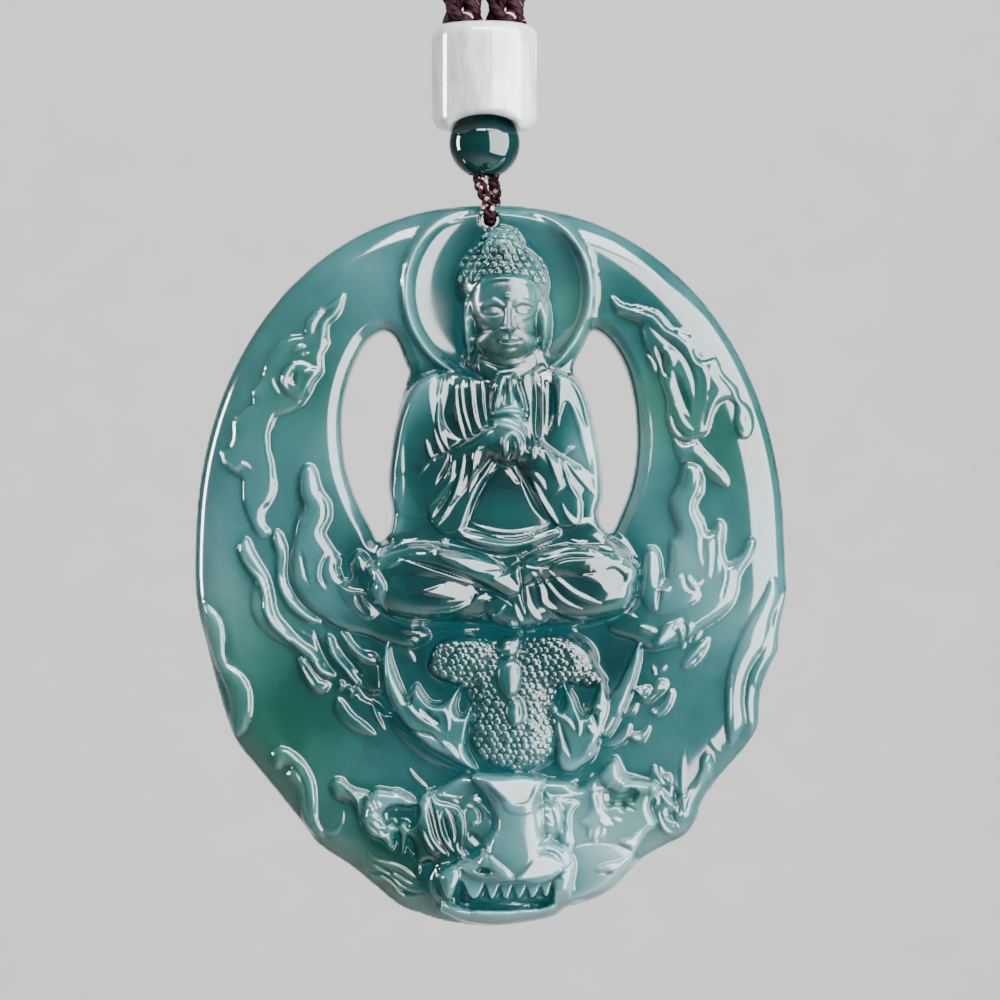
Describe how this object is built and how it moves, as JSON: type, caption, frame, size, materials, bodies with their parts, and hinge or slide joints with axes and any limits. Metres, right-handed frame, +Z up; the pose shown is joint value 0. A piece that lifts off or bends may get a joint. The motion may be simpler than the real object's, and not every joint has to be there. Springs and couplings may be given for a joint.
{
  "type": "jade pendant necklace with a seated Buddha",
  "caption": "Openwork jade pendant with a seated Buddha over a beast's head, swinging on a thin cord under two beads and a braided neck cord.",
  "frame": {"origin": "middle of the knot at the nape, where the necklace hangs", "axes": "+Z up along the hanging pendant, -Y towards the viewer, +X to the viewer's right"},
  "size_m": [0.182, 0.0128, 0.2549],
  "materials": {
    "jade": "polished, translucent teal-green with cloudy pale patches",
    "dark_jade": "polished dark green",
    "milky_stone": "polished, translucent milky white",
    "cord": "dark maroon braid with pale pink threads"
  },
  "bodies": {
    "necklace": {"round_bead": "dark_jade", "barrel_bead": "milky_stone", "hanging_cord": "cord", "neck_cord_left": "cord", "neck_cord_right": "cord", "nape_knot": "cord"},
    "pendant": {"jade_carving": "jade"}
  },
  "joints": [
    {"name": "pendant_swing", "type": "hinge", "parent": "necklace", "child": "pendant", "pos_m": [0, 0, -0.186], "axis": [0, 1, 0], "range_deg": [-30, 30]}
  ]
}
